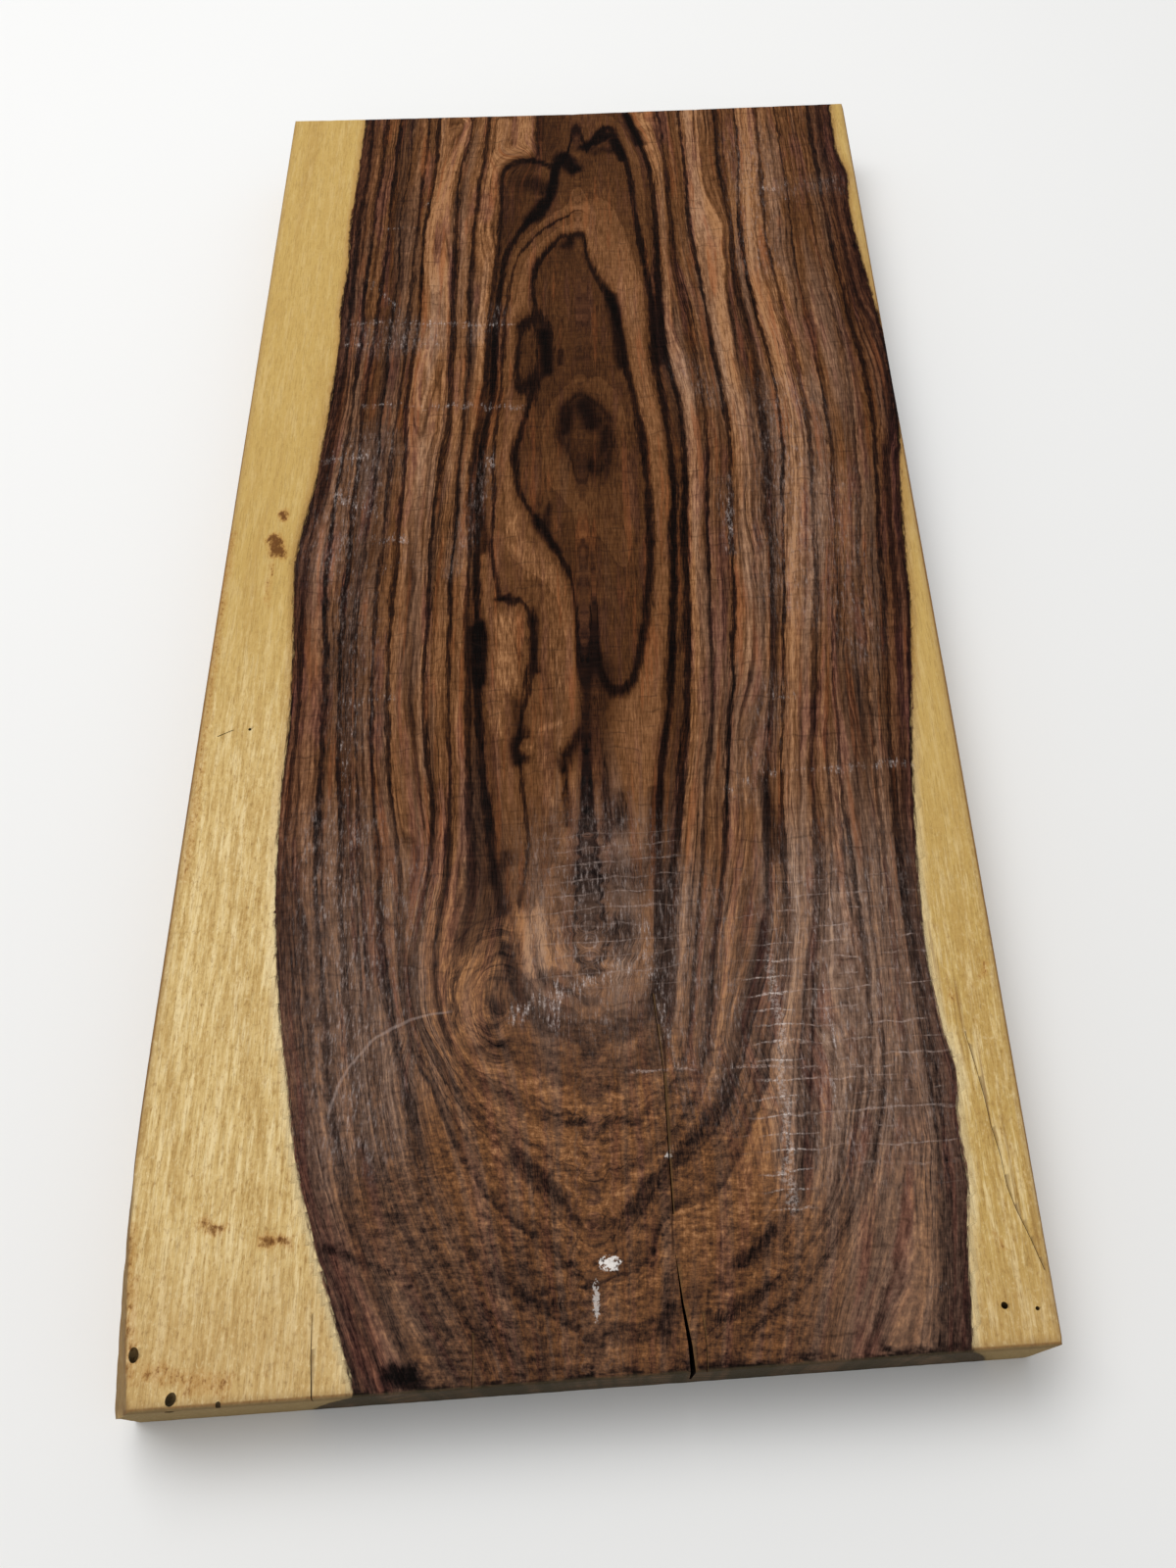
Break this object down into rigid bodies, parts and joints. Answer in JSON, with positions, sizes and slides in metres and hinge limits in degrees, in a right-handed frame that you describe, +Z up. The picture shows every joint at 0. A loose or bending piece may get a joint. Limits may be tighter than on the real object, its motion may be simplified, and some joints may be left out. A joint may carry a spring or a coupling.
{
  "type": "kingwood block",
  "caption": "Flat rough-sawn kingwood board: dark striped heartwood between pale sapwood edges, one end out of square with a drying check, and natural wane on one corner.",
  "frame": {"origin": "middle of the underside, at the centre of the board's box", "axes": "+X across the grain, with the narrow sapwood edge at +X; +Y along the grain, away from the end that is cut out of square; +Z up, out of the sawn top face"},
  "size_m": [0.19, 0.4034, 0.024],
  "materials": {
    "kingwood": "rough-sawn, dry and matt, with a dull sheen where the saw has rubbed it"
  },
  "bodies": {
    "root": {"kingwood_block": "kingwood"}
  },
  "joints": []
}
